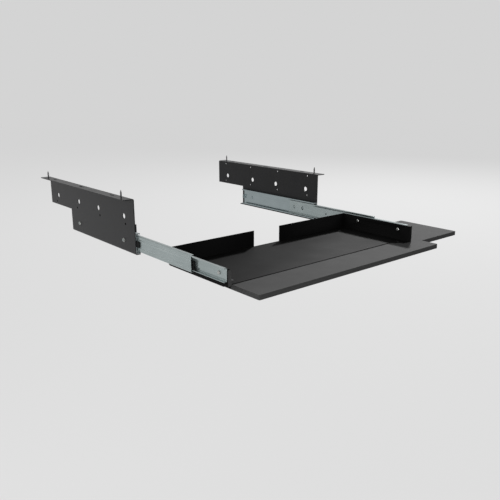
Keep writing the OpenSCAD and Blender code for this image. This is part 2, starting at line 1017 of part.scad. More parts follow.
// A board with round corners between two corners.
module board(a, b) {
    block([a[0] + board_r, a[1], a[2]], [b[0] - board_r, b[1], b[2]]);
    block([a[0], a[1] + board_r, a[2]], [b[0], b[1] - board_r, b[2]]);
    for (x = [a[0] + board_r, b[0] - board_r])
        for (y = [a[1] + board_r, b[1] - board_r])
            rod_z(x, y, a[2], b[2], board_r);
}

module keyboard_board() {
    color([0.4, 0.4, 0.4])
        difference() {
            board([-board_left, board_front, board_under], [board_right, board_back, board_top]);
            for (p = pan_screw_pos)
                rod_z(p[0], p[1], board_top - wood_screw_in - hole_gap, board_top + over,
                    wood_screw_r + press_gap);
            for (x = guide_screw_x)
                for (y = [guide_front_y, guide_back_y])
                    rod_z(x, y, board_under - over, board_under + guide_screw_in + hole_gap,
                        wood_screw_r + press_gap);
        }
}

module mouse_board() {
    color([0.42, 0.42, 0.42])
        difference() {
            board([mouse_left, mouse_front, mouse_under], [mouse_right, mouse_back, mouse_top]);
            for (y = [mouse_front + stop_inset, mouse_back - stop_inset])
                rod_z(mouse_stop_x, y, mouse_under - over, mouse_under + stop_screw_in + hole_gap,
                    wood_screw_r + press_gap);
        }
}

// Section of a guide in Y and Z: flange, fold, web, fold and lip.
module guide_section() {
    web = mouse_front - guide_gap;
    bend = 1;
    r = guide_t + bend;
    patch([web - guide_t - guide_flange, board_under - guide_t], [web - r, board_under]);
    fold([web - r, board_under - r], r, guide_t, 1, 1);
    patch([web - guide_t, guide_low + r], [web, board_under - r]);
    fold([web - guide_t + r, guide_low + r], r, guide_t, -1, -1);
    patch([web - guide_t + r, guide_low], [web + guide_lip, guide_low + guide_t]);
}

// Folded guide under the keyboard board, drawn for the front edge of the mouse board.
module mouse_guide() {
    lip_end = mouse_front - guide_gap + guide_lip;
    color([0.1, 0.1, 0.1])
        difference() {
            union() {
                along_x(guide_left, guide_right)
                    guide_section();
                block([guide_right - stop_lug, lip_end - eps, guide_low],
                    [guide_right, lip_end + stop_lug, guide_low + guide_t]);
            }
            for (x = guide_screw_x)
                rod_z(x, guide_front_y, board_under - guide_t - over, board_under + over,
                    wood_screw_r + hole_gap);
        }
}

module mouse_guide_front() {
    mouse_guide();
}

module mouse_guide_back() {
    translate([0, mouse_front + mouse_back, 0])
        mirror([0, 1, 0])
            mouse_guide();
}

// Screw from below through a guide into the keyboard board.
module guide_screw(x, y) {
    head = 1.8;
    taper = 1;
    translate([x, y, board_under - guide_t])
        color([0.74, 0.74, 0.72])
            union() {
                translate([0, 0, -eps])
                    cylinder(h = guide_t + guide_screw_in + eps, r = wood_screw_r);
                translate([0, 0, -head])
                    cylinder(h = head, r1 = wood_head_r - taper, r2 = wood_head_r);
            }
}

module guide_screw_f1() {
    guide_screw(guide_screw_x[0], guide_front_y);
}

module guide_screw_f2() {
    guide_screw(guide_screw_x[1], guide_front_y);
}

module guide_screw_f3() {
    guide_screw(guide_screw_x[2], guide_front_y);
}

module guide_screw_b1() {
    guide_screw(guide_screw_x[0], guide_back_y);
}

module guide_screw_b2() {
    guide_screw(guide_screw_x[1], guide_back_y);
}

module guide_screw_b3() {
    guide_screw(guide_screw_x[2], guide_back_y);
}

// Screw under the mouse board that meets the guide's end lug.
module mouse_stop(y) {
    head = 2.2;
    taper = 0.8;
    translate([mouse_stop_x, y, mouse_under])
        color([0.74, 0.74, 0.72])
            union() {
                translate([0, 0, -eps])
                    cylinder(h = stop_screw_in + eps, r = wood_screw_r);
                translate([0, 0, -head])
                    cylinder(h = head, r1 = stop_head_r - taper, r2 = stop_head_r);
            }
}

module mouse_stop_front() {
    mouse_stop(mouse_front + stop_inset);
}

module mouse_stop_back() {
    mouse_stop(mouse_back - stop_inset);
}

// What is drawn

bracket_left();
bracket_right();
desk_screw_fl();
desk_screw_bl();
desk_screw_fr();
desk_screw_br();
outer_rail_left();
outer_rail_right();
rail_screw_fl();
rail_screw_bl();
rail_screw_fr();
rail_screw_br();
rail_nut_fl();
rail_nut_bl();
rail_nut_fr();
rail_nut_br();
rail_buffer_left();
rail_buffer_right();
outer_cage_left();
outer_cage_right();
mid_rail_left();
mid_rail_right();
inner_cage_left();
inner_cage_right();
inner_rail_left();
inner_rail_right();
lever_left();
lever_right();
lever_pin_left();
lever_pin_right();
wall_screw_fl();
wall_screw_bl();
wall_screw_fr();
wall_screw_br();
wall_nut_fl();
wall_nut_bl();
wall_nut_fr();
wall_nut_br();
pan();
pan_screw_fl();
pan_screw_bl();
pan_screw_fr();
pan_screw_br();
keyboard_board();
mouse_board();
mouse_guide_front();
mouse_guide_back();
guide_screw_f1();
guide_screw_f2();
guide_screw_f3();
guide_screw_b1();
guide_screw_b2();
guide_screw_b3();
mouse_stop_front();
mouse_stop_back();
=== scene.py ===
"""Looks of a keyboard tray that hangs under a desk on two brackets with telescopic ball slides."""

import json
import logging
import math
from abc import ABC, abstractmethod
from collections.abc import Callable, Iterator, Sequence
from contextlib import contextmanager
from dataclasses import dataclass, field
from enum import Enum, IntEnum
from functools import cache
from typing import Any, ClassVar

import bpy
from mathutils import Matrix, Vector

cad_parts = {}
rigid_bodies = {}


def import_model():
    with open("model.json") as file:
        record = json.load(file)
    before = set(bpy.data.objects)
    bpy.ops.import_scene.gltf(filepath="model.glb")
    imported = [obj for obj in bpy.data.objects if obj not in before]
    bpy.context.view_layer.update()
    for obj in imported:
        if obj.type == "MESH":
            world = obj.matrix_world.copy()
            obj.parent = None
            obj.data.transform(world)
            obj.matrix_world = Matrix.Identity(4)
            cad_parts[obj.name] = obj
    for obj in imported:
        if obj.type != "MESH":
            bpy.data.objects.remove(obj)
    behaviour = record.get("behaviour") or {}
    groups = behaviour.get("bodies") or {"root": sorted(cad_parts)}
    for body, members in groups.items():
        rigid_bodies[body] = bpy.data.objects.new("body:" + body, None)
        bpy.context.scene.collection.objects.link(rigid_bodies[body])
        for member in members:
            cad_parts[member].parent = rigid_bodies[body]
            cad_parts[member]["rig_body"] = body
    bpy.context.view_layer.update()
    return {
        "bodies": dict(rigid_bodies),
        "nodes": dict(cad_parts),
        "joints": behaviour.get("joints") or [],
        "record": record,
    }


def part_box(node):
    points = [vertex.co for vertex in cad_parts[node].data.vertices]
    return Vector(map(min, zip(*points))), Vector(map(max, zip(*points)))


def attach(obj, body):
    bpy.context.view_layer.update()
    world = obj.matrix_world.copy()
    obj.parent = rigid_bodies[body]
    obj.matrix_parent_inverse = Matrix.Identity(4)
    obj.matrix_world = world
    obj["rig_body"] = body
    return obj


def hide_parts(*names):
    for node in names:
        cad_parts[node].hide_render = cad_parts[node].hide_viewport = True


LOG = logging.getLogger("keyboard_tray")
MM = 0.001

# Corners of a copied mesh that lie closer than this are one corner.
MERGE_MM = 0.002
# Faces that meet at less than this are one flat face.
FLAT_DEG = 0.6
# Edges that turn more than this are rounded.
SHARP_DEG = 38.0
# Edges that turn more than this stay crisp where a piece is shaded smooth.
CRISP_DEG = 32.0
# A face looks along an axis when its normal has more than this share of it.
FACING = 0.9

# A Mix node has several sockets of one name, so its colour sockets go by number.
MIX_SHARE, MIX_LOW, MIX_HIGH, MIX_RESULT = 0, 6, 7, 2

Point = tuple[float, float, float]
Materials = Sequence[bpy.types.Material]
Values = dict[str | int, Any]
Links = dict[str | int, bpy.types.NodeSocket]


class Side(Enum):
    """Left or right as the user sits, with the word for it in the names of the nodes."""

    LEFT = "left"
    RIGHT = "right"


class Axis(Enum):
    """A direction along which a surface was rolled or drawn."""

    X = 0
    Y = 1
    Z = 2


class Element(Enum):
    """The kind of mesh element that is selected, as switches for corners, edges and faces."""

    EDGE = (False, True, False)
    FACE = (False, False, True)


class Layer(IntEnum):
    """Which of a piece's materials a face takes."""

    FLAT = 0
    EDGE = 1
    SPECIAL = 2


# Mesh work


def only(obj: bpy.types.Object) -> None:
    """Selects one object alone and makes it active.

    Args:
        obj: The object to work on.
    """
    for other in bpy.context.view_layer.objects:
        other.select_set(False)
    obj.select_set(True)
    bpy.context.view_layer.objects.active = obj


@contextmanager
def editing(obj: bpy.types.Object, element: Element = Element.FACE) -> Iterator[None]:
    """Opens an object in edit mode and closes it again.

    Args:
        obj: The object to edit.
        element: The kind of element that selecting works on.
    """
    only(obj)
    bpy.context.tool_settings.mesh_select_mode = element.value
    bpy.ops.object.mode_set(mode="EDIT")
    try:
        yield
    finally:
        bpy.ops.object.mode_set(mode="OBJECT")


def pick(obj: bpy.types.Object, element: Element, wanted: Callable[[Any], bool]) -> None:
    """Selects the edges or the faces of an object that pass a test, and nothing else.

    Args:
        obj: The object, in object mode.
        element: Whether edges or faces are meant.
        wanted: Says whether an edge or a face is wanted.
    """
    mesh = obj.data
    for group in (mesh.vertices, mesh.edges, mesh.polygons):
        for item in group:
            item.select = False
    for item in mesh.edges if element is Element.EDGE else mesh.polygons:
        item.select = wanted(item)


def apply_modifier(obj: bpy.types.Object, kind: str, **settings: Any) -> None:
    """Adds a modifier to an object and applies it.

    Args:
        obj: The object.
        kind: Blender's name for the kind of modifier.
        settings: The modifier's settings by name.
    """
    only(obj)
    modifier = obj.modifiers.new(kind.title(), kind)
    for name, value in settings.items():
        setattr(modifier, name, value)
    bpy.ops.object.modifier_apply(modifier=modifier.name)


def smooth(obj: bpy.types.Object, degrees: float = CRISP_DEG) -> None:
    """Shades an object smooth, apart from edges sharper than an angle."""
    only(obj)
    bpy.ops.object.shade_smooth_by_angle(angle=math.radians(degrees))


def settle(obj: bpy.types.Object) -> None:
    """Puts an object's place into its mesh and leaves the object at the origin."""
    only(obj)
    bpy.ops.object.transform_apply(location=True, rotation=True, scale=True)


def join(parts: Sequence[bpy.types.Object], name: str) -> bpy.types.Object:
    """Joins several objects into one.

    Args:
        parts: The objects; the first one keeps its materials' order.
        name: The name of the joined object.

    Returns:
        The joined object.
    """
    only(parts[0])
    for part in parts:
        part.select_set(True)
    bpy.ops.object.join()
    parts[0].name = name
    parts[0].data.name = name
    return parts[0]


def coat(obj: bpy.types.Object, finish: Materials) -> None:
    """Gives an object its materials, in the order of the layers."""
    for material in finish:
        obj.data.materials.append(material)


def coat_faces(obj: bpy.types.Object, layer: Layer,
               wanted: Callable[[bpy.types.MeshPolygon], bool]) -> None:
    """Gives the faces of an object that pass a test one of its materials.

    Args:
        obj: The object, which has its materials.
        layer: The material that those faces take.
        wanted: Says whether a face is wanted.
    """
    for face in obj.data.polygons:
        if wanted(face):
            face.material_index = layer


# Materials


def linear(code: str) -> tuple[float, float, float, float]:
    """Turns an sRGB hex value into linear colour.

    Args:
        code: Six hex digits, with or without a leading hash.

    Returns:
        Linear red, green, blue and an alpha of 1.
    """
    digits = code.lstrip("#")
    values = [int(digits[i:i + 2], 16) / 255 for i in (0, 2, 4)]
    red, green, blue = (v / 12.92 if v <= 0.04045 else ((v + 0.055) / 1.055) ** 2.4 for v in values)
    return red, green, blue, 1.0


def feed(tree: bpy.types.NodeTree, node: bpy.types.Node, values: Values | None = None,
         links: Links | None = None) -> None:
    """Sets a node's input values and links.

    Args:
        tree: The node tree.
        node: The node.
        values: Input values by socket name or number.
        links: Output sockets by the input socket's name or number.
    """
    for socket, value in (values or {}).items():
        node.inputs[socket].default_value = value
    for socket, source in (links or {}).items():
        tree.links.new(source, node.inputs[socket])


def add_node(tree: bpy.types.NodeTree, kind: str, settings: dict[str, Any] | None = None,
             values: Values | None = None, links: Links | None = None) -> bpy.types.Node:
    """Adds a node with its settings, input values and links.

    Args:
        tree: The node tree.
        kind: Blender's name for the kind of node.
        settings: The node's own settings by name.
        values: Input values by socket name or number.
        links: Output sockets by the input socket's name or number.

    Returns:
        The new node.
    """
    node = tree.nodes.new(kind)
    for name, value in (settings or {}).items():
        setattr(node, name, value)
    feed(tree, node, values, links)
    return node


def new_material(name: str) -> tuple[bpy.types.Material, bpy.types.NodeTree, bpy.types.Node,
                                     bpy.types.NodeSocket]:
    """Starts a node material.

    Args:
        name: The material's name.

    Returns:
        The material, its tree, its surface shader and the Object coordinates.
    """
    material = bpy.data.materials.new(name)
    material.use_nodes = True
    tree = material.node_tree
    tree.nodes.clear()
    shader = add_node(tree, "ShaderNodeBsdfPrincipled")
    add_node(tree, "ShaderNodeOutputMaterial", links={"Surface": shader.outputs[0]})
    place = add_node(tree, "ShaderNodeTexCoord").outputs["Object"]
    return material, tree, shader, place


def per_mm(size: float) -> float:
    """The scale of a pattern in metres whose features have a size in millimetres."""
    return 1.0 / (size * MM)


class EdgedFinish(ABC):
    """A finish with one material for the flats and another for the rounded edges."""

    @abstractmethod
    def face(self) -> bpy.types.Material:
        """The material of the flats."""

    @abstractmethod
    def worn(self) -> bpy.types.Material:
        """The material of the rounded edges."""

    def pair(self) -> list[bpy.types.Material]:
        """Both materials, in the order of the layers."""
        return [self.face(), self.worn()]


@dataclass(frozen=True)
class PowderCoat(EdgedFinish):
    """Polyester powder coat, sprayed on folded sheet steel and baked.

    It gives the eye an even dark face with a very fine pebble, a broad soft sheen, and edges
    where the coat is drawn thin and looks a shade lighter.
    """

    name: str
    dark: str
    light: str
    edge: str
    roughness: float
    pebble_mm: float
    cloud_mm: float
    bump: float
    gloss: float
    uneven: float = 0.03
    worn_share: float = 0.9
    pebble_deep_mm: float = 0.04
    ior: float = 1.5

    def face(self) -> bpy.types.Material:
        """The material of the broad faces."""
        return self._make(self.name, self.dark, self.light, self.roughness)

    def worn(self) -> bpy.types.Material:
        """The material of the rounded edges, where the coat is thin."""
        return self._make(self.name + "_edge", self.light, self.edge,
                          self.roughness * self.worn_share)

    @cache
    def _make(self, name: str, low: str, high: str, roughness: float) -> bpy.types.Material:
        """Builds one of the two materials.

        Args:
            name: The material's name.
            low: The darker colour.
            high: The lighter colour.
            roughness: The middle of its roughness.

        Returns:
            The material.
        """
        material, tree, shader, place = new_material(name)
        cloud = add_node(tree, "ShaderNodeTexNoise",
                         values={"Scale": per_mm(self.cloud_mm), "Detail": 3.0},
                         links={"Vector": place}).outputs[0]
        even = add_node(tree, "ShaderNodeMapRange", values={"From Min": 0.3, "From Max": 0.7},
                        links={"Value": cloud}).outputs[0]
        tint = add_node(tree, "ShaderNodeMix", {"data_type": "RGBA"},
                        {MIX_LOW: linear(low), MIX_HIGH: linear(high)}, {MIX_SHARE: even})
        dull = add_node(tree, "ShaderNodeMapRange", links={"Value": even},
                        values={"To Min": roughness - self.uneven,
                                "To Max": roughness + self.uneven})
        # The real pebble is finer than a pixel of the picture, so it is drawn coarse enough to show.
        pebble = add_node(tree, "ShaderNodeTexNoise",
                          values={"Scale": per_mm(self.pebble_mm), "Detail": 1.0},
                          links={"Vector": place})
        bump = add_node(tree, "ShaderNodeBump", links={"Height": pebble.outputs[0]},
                        values={"Strength": self.bump, "Distance": self.pebble_deep_mm * MM})
        feed(tree, shader, {"IOR": self.ior, "Specular IOR Level": self.gloss},
             {"Base Color": tint.outputs[MIX_RESULT], "Roughness": dull.outputs[0],
              "Normal": bump.outputs[0]})
        return material


@dataclass(frozen=True)
class PlatedSteel(EdgedFinish):
    """Cold-worked steel with a thin plate of zinc or phosphate.

    The rolls and dies leave long faint streaks along the metal, the plate has a soft mirror with a
    slow cloud in its tone, and cut and folded edges are painted lighter than the flats, as a painted
    highlight where they catch more light.
    """

    name: str
    dark: str
    light: str
    edge: str
    roughness: float
    streak_mm: float
    along: Axis
    stretch: float = 60.0
    bump: float = 0.02
    metal: float = 1.0
    uneven: float = 0.05
    worn_share: float = 1.4
    streaks_per_cloud: float = 30.0
    streak_deep_mm: float = 0.02

    def face(self) -> bpy.types.Material:
        """The material of the flats."""
        return self._make(self.name, self.dark, self.light, self.roughness)

    def worn(self) -> bpy.types.Material:
        """The material of the rounded edges."""
        return self._make(self.name + "_edge", self.light, self.edge,
                          self.roughness * self.worn_share)

    @cache
    def _make(self, name: str, low: str, high: str, roughness: float) -> bpy.types.Material:
        """Builds one of the two materials.

        Args:
            name: The material's name.
            low: The darker colour of the streaks.
            high: The lighter colour of the streaks.
            roughness: The middle of its roughness.

        Returns:
            The material.
        """
        material, tree, shader, place = new_material(name)
        draw = [1.0, 1.0, 1.0]
        draw[self.along.value] = 1.0 / self.stretch
        drawn = add_node(tree, "ShaderNodeMapping", values={"Scale": draw},
                         links={"Vector": place}).outputs[0]
        streak = add_node(tree, "ShaderNodeTexNoise",
                          values={"Scale": per_mm(self.streak_mm), "Detail": 3.0},
                          links={"Vector": drawn}).outputs[0]
        cloud_mm = self.streak_mm * self.streaks_per_cloud
        cloud = add_node(tree, "ShaderNodeTexNoise",
                         values={"Scale": per_mm(cloud_mm), "Detail": 2.0},
                         links={"Vector": place}).outputs[0]
        both = add_node(tree, "ShaderNodeMath", {"operation": "ADD"},
                        links={0: streak, 1: cloud}).outputs[0]
        even = add_node(tree, "ShaderNodeMapRange", values={"From Min": 0.65, "From Max": 1.35},
                        links={"Value": both}).outputs[0]
        tint = add_node(tree, "ShaderNodeMix", {"data_type": "RGBA"},
                        {MIX_LOW: linear(low), MIX_HIGH: linear(high)}, {MIX_SHARE: even})
        dull = add_node(tree, "ShaderNodeMapRange", links={"Value": even},
                        values={"To Min": roughness - self.uneven,
                                "To Max": roughness + self.uneven})
        bump = add_node(tree, "ShaderNodeBump", links={"Height": streak},
                        values={"Strength": self.bump, "Distance": self.streak_deep_mm * MM})
        feed(tree, shader, {"Metallic": self.metal},
             {"Base Color": tint.outputs[MIX_RESULT], "Roughness": dull.outputs[0],
              "Normal": bump.outputs[0]})
        return material


@dataclass(frozen=True)
class BearingBall:
    """Hardened chrome steel balls, ground, lapped and thinly greased.

    They give the eye a clear mirror with a faint amber film.
    """

    name: str
    bare: str
    greased: str
    roughness: float
    film_mm: float
    film_dulls: float = 0.12

    @cache
    def face(self) -> bpy.types.Material:
        """Builds the material of the balls.

        Returns:
            The material.
        """
        material, tree, shader, place = new_material(self.name)
        film = add_node(tree, "ShaderNodeTexNoise",
                        values={"Scale": per_mm(self.film_mm), "Detail": 2.0},
                        links={"Vector": place}).outputs[0]
        even = add_node(tree, "ShaderNodeMapRange", values={"From Min": 0.35, "From Max": 0.65},
                        links={"Value": film}).outputs[0]
        tint = add_node(tree, "ShaderNodeMix", {"data_type": "RGBA"},
                        {MIX_LOW: linear(self.bare), MIX_HIGH: linear(self.greased)},
                        {MIX_SHARE: even})
        dull = add_node(tree, "ShaderNodeMapRange", links={"Value": even},
                        values={"To Min": self.roughness,
                                "To Max": self.roughness + self.film_dulls})
        feed(tree, shader, {"Metallic": 1.0},
             {"Base Color": tint.outputs[MIX_RESULT], "Roughness": dull.outputs[0]})
        return material


@dataclass(frozen=True)
class MouldedPlastic(EdgedFinish):
    """Black acetal, injection moulded.

    It gives the eye a dull skin with a fine spark-eroded grain, and smoother rubbed edges.
    """

    name: str
    dark: str
    light: str
    roughness: float
    grain_mm: float
    gloss: float
    uneven: float = 0.1
    worn_share: float = 0.8
    bump: float = 0.25
    grain_deep_mm: float = 0.03
    ior: float = 1.48

    def face(self) -> bpy.types.Material:
        """The material of the moulded faces."""
        return self._make(self.name, self.dark, self.roughness)

    def worn(self) -> bpy.types.Material:
        """The material of the rounded edges, rubbed smoother."""
        return self._make(self.name + "_edge", self.light, self.roughness * self.worn_share)

    @cache
    def _make(self, name: str, low: str, roughness: float) -> bpy.types.Material:
        """Builds one of the two materials.

        Args:
            name: The material's name.
            low: The darker colour.
            roughness: The middle of its roughness.

        Returns:
            The material.
        """
        material, tree, shader, place = new_material(name)
        grain = add_node(tree, "ShaderNodeTexNoise",
                         values={"Scale": per_mm(self.grain_mm), "Detail": 2.0},
                         links={"Vector": place}).outputs[0]
        tint = add_node(tree, "ShaderNodeMix", {"data_type": "RGBA"},
                        {MIX_LOW: linear(low), MIX_HIGH: linear(self.light)}, {MIX_SHARE: grain})
        dull = add_node(tree, "ShaderNodeMapRange", links={"Value": grain},
                        values={"To Min": roughness - self.uneven,
                                "To Max": roughness + self.uneven})
        bump = add_node(tree, "ShaderNodeBump", links={"Height": grain},
                        values={"Strength": self.bump, "Distance": self.grain_deep_mm * MM})
        feed(tree, shader, {"IOR": self.ior, "Specular IOR Level": self.gloss},
             {"Base Color": tint.outputs[MIX_RESULT], "Roughness": dull.outputs[0],
              "Normal": bump.outputs[0]})
        return material


@dataclass(frozen=True)
class Laminate:
    """High-pressure melamine laminate pressed on fibreboard, with a matching edge band.

    The plate it was pressed against leaves a fine pearl texture, which breaks the light into a wide
    soft sheen; the edge band is painted a shade darker as painted shade, with faint lines along it
    from trimming.
    """

    name: str
    dark: str
    light: str
    band_dark: str
    band_light: str
    seam: str
    roughness: float
    pearl_mm: float
    cloud_mm: float
    gloss: float
    corner_cloud_mm: float = 2.5
    trim_mm: float = 0.9
    trim_draw: Point = (0.03, 0.03, 1.0)
    uneven: float = 0.1
    bump: float = 0.25
    pearl_deep_mm: float = 0.05
    ior: float = 1.52

    def face(self) -> bpy.types.Material:
        """The material of the top and underside."""
        # A real pearl texture is about 0.3 mm, too fine for the picture, so it is drawn coarser.
        return self._make(self.name, (self.dark, self.light), self.cloud_mm, self.pearl_mm)

    def band(self) -> bpy.types.Material:
        """The material of the edge band, with trimming lines along it."""
        return self._make(self.name + "_band", (self.band_dark, self.band_light),
                          self.trim_mm, self.trim_mm, self.trim_draw)

    def joint(self) -> bpy.types.Material:
        """The material of the trimmed corner, where the band meets the laminate."""
        return self._make(self.name + "_trimmed_corner", (self.band_light, self.seam),
                          self.corner_cloud_mm, self.pearl_mm)

    @cache
    def _make(self, name: str, tones: tuple[str, str], cloud_mm: float, grain_mm: float,
              draw: Point = (1.0, 1.0, 1.0)) -> bpy.types.Material:
        """Builds one of the three materials.

        Args:
            name: The material's name.
            tones: Its darker and its lighter colour.
            cloud_mm: The size of the patches of tone in millimetres.
            grain_mm: The size of the texture in millimetres.
            draw: How the patterns are drawn out along each axis.

        Returns:
            The material.
        """
        material, tree, shader, place = new_material(name)
        drawn = add_node(tree, "ShaderNodeMapping", values={"Scale": draw},
                         links={"Vector": place}).outputs[0]
        cloud = add_node(tree, "ShaderNodeTexNoise",
                         values={"Scale": per_mm(cloud_mm), "Detail": 4.0},
                         links={"Vector": drawn}).outputs[0]
        even = add_node(tree, "ShaderNodeMapRange", values={"From Min": 0.3, "From Max": 0.7},
                        links={"Value": cloud}).outputs[0]
        low, high = tones
        tint = add_node(tree, "ShaderNodeMix", {"data_type": "RGBA"},
                        {MIX_LOW: linear(low), MIX_HIGH: linear(high)}, {MIX_SHARE: even})
        grain = add_node(tree, "ShaderNodeTexNoise",
                         values={"Scale": per_mm(grain_mm), "Detail": 2.0},
                         links={"Vector": drawn}).outputs[0]
        dull = add_node(tree, "ShaderNodeMapRange", links={"Value": grain},
                        values={"To Min": self.roughness - self.uneven,
                                "To Max": self.roughness + self.uneven})
        bump = add_node(tree, "ShaderNodeBump", links={"Height": grain},
                        values={"Strength": self.bump, "Distance": self.pearl_deep_mm * MM})
        feed(tree, shader, {"IOR": self.ior, "Specular IOR Level": self.gloss},
             {"Base Color": tint.outputs[MIX_RESULT], "Roughness": dull.outputs[0],
              "Normal": bump.outputs[0]})
        return material


# A dark grey coat with a clear pebble, which looks even and a little silky.
BRACKET_COAT = PowderCoat(
    "bracket_powder_coat", dark="#1f1f20", light="#242425", edge="#424243",
    roughness=0.36, pebble_mm=1.2, cloud_mm=26.0, bump=1.0, gloss=0.2)
# Painted shade on the walls of the punched holes: nearly black and without a sheen, so the holes
# read dark.
HOLE_PAINTED_SHADE = PowderCoat(
    "hole_wall_painted_shade", dark="#020202", light="#050505", edge="#080808",
    roughness=0.7, pebble_mm=0.5, cloud_mm=2.0, bump=0.1, gloss=0.05)
# A black satin coat, which swallows the light; its rounded edges are much lighter, partly a thin
# coat and partly a painted highlight.
PAN_COAT = PowderCoat(
    "pan_powder_coat", dark="#090909", light="#0c0c0c", edge="#464646",
    roughness=0.6, pebble_mm=1.0, cloud_mm=60.0, bump=0.8, gloss=0.05)
# The same coat, a little smoother and painted grey: painted light on the left front fold, which
# faces the lamps.
FOLD_PAINTED_LIGHT_COAT = PowderCoat(
    "pan_powder_coat_painted_light", dark="#434343", light="#4d4d4d", edge="#565656",
    roughness=0.5, pebble_mm=1.0, cloud_mm=40.0, bump=0.5, gloss=0.05)
# A slightly cloudy plate on the moving members, which looks pale from every side.
RAIL_ZINC = PlatedSteel(
    "rail_zinc_plate", dark="#9ba6a6", light="#a9b3b3", edge="#c0c8c8",
    roughness=0.2, streak_mm=1.4, along=Axis.Y, metal=0.75)
# A clearer plate on the outer members, which mirrors more of what is round it; its tone is a little
# darker than the moving members' plate, as painted shade.
OUTER_ZINC_PAINTED_SHADE = PlatedSteel(
    "outer_rail_zinc_plate_painted_shade", dark="#949fa1", light="#a2adaf", edge="#bac2c3",
    roughness=0.22, streak_mm=1.4, along=Axis.Y)
# Cut ends of the strip, with the plate dragged over them by the shear: dull and pale.
SHEARED_STEEL = PlatedSteel(
    "sheared_steel_end", dark="#a4abac", light="#b2b9ba", edge="#bcc3c4",
    roughness=0.55, streak_mm=0.8, along=Axis.X)
# Black phosphate on hardened screws: a dark, dry metal grey.
SCREW_PHOSPHATE = PlatedSteel(
    "screw_black_phosphate", dark="#3c3c3d", light="#4d4d4e", edge="#747475",
    roughness=0.42, streak_mm=0.6, along=Axis.Z, stretch=4.0, bump=0.15)
# Bright plate on headed screws and rivets: a white metal with short marks.
SCREW_ZINC = PlatedSteel(
    "screw_zinc_plate", dark="#a9aba9", light="#c3c5c2", edge="#d8d9d6",
    roughness=0.32, streak_mm=0.5, along=Axis.Z, stretch=6.0, bump=0.15)
# Bright plate on nuts, a shade deeper, with short marks along the bore.
NUT_ZINC = PlatedSteel(
    "nut_bright_zinc_plate", dark="#9b9d9b", light="#adafac", edge="#c4c5c2",
    roughness=0.3, streak_mm=0.5, along=Axis.X, stretch=6.0, bump=0.15)
# Punched strip in the tone of the members, with a softer mirror.
CAGE_STEEL = PlatedSteel(
    "cage_steel_strip", dark="#98a1a1", light="#a8b0b0", edge="#bcc3c3",
    roughness=0.34, streak_mm=0.7, along=Axis.Y)
# Balls that sparkle between the members.
BALL_STEEL = BearingBall(
    "bearing_ball_steel", bare="#c8c8c4", greased="#bdb7a6", roughness=0.06, film_mm=1.5)
# A dull black that shows the lever only by its edges and ribs.
LEVER_PLASTIC = MouldedPlastic(
    "lever_black_acetal", dark="#040404", light="#090909", roughness=0.6, grain_mm=0.5, gloss=0.15)
# A plain mid grey with hardly any gloss; the band round it is painted darker, as painted shade on
# edges that face away from the light.
BOARD_LAMINATE = Laminate(
    "board_grey_laminate", dark="#595959", light="#5f5f5f", band_dark="#444444",
    band_light="#4c4c4c", seam="#585858", roughness=0.66, pearl_mm=0.9, cloud_mm=42.0, gloss=0.04)


# Sub-assemblies


@dataclass
class SubAssembly(ABC):
    """Pieces of the tray that are dressed together."""

    frame: dict[str, Any]
    made: list[str] = field(default_factory=list)

    @abstractmethod
    def build(self) -> None:
        """Makes and dresses every piece of the sub-assembly."""

    def mesh_copy(self, node: str, finish: Materials, name: str = "") -> bpy.types.Object:
        """Copies a node's mesh into a new piece, merged, with its flat faces whole.

        Args:
            node: The node's name.
            finish: The new piece's materials, in the order of the layers.
            name: The new piece's name, where it isn't the node's name with "_finished".

        Returns:
            The new piece.
        """
        name = name or f"{node}_finished"
        mesh = self.frame["nodes"][node].data.copy()
        mesh.materials.clear()
        mesh.name = name
        piece = bpy.data.objects.new(name, mesh)
        bpy.context.scene.collection.objects.link(piece)
        with editing(piece):
            bpy.ops.mesh.select_all(action="SELECT")
            bpy.ops.mesh.remove_doubles(threshold=MERGE_MM * MM)
            bpy.ops.mesh.dissolve_limited(angle_limit=math.radians(FLAT_DEG))
        coat(piece, finish)
        return piece

    def round_edges(self, piece: bpy.types.Object, width_mm: float, segments: int = 2) -> None:
        """Rounds a piece's sharp edges and gives the rounding its own finish.

        Args:
            piece: The piece.
            width_mm: The width of the rounding in millimetres.
            segments: How many faces each rounding has.
        """
        apply_modifier(piece, "BEVEL", width=width_mm * MM, segments=segments,
                       limit_method="ANGLE", angle_limit=math.radians(SHARP_DEG),
                       material=Layer.EDGE, use_clamp_overlap=True)
        smooth(piece)
        apply_modifier(piece, "WEIGHTED_NORMAL", mode="FACE_AREA", weight=100, keep_sharp=True)

    def dress(self, piece: bpy.types.Object, node: str, slot: str) -> None:
        """Lets a finished piece stand for a node and ride on its body.

        Args:
            piece: The finished piece.
            node: The node that it stands for.
            slot: The record's material slot; not used.
        """
        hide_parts(node)
        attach(piece, self.frame["nodes"][node]["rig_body"])
        self.made.append(piece.name)

    def rounded_node(self, node: str, finish: Materials, width_mm: float,
                     slot: str) -> bpy.types.Object:
        """Replaces a node with a copy whose edges are rounded.

        Args:
            node: The node's name.
            finish: The copy's materials, in the order of the layers.
            width_mm: The width of the rounding in millimetres.
            slot: The record's material slot.

        Returns:
            The new piece.
        """
        piece = self.mesh_copy(node, finish)
        self.round_edges(piece, width_mm)
        self.dress(piece, node, slot)
        return piece


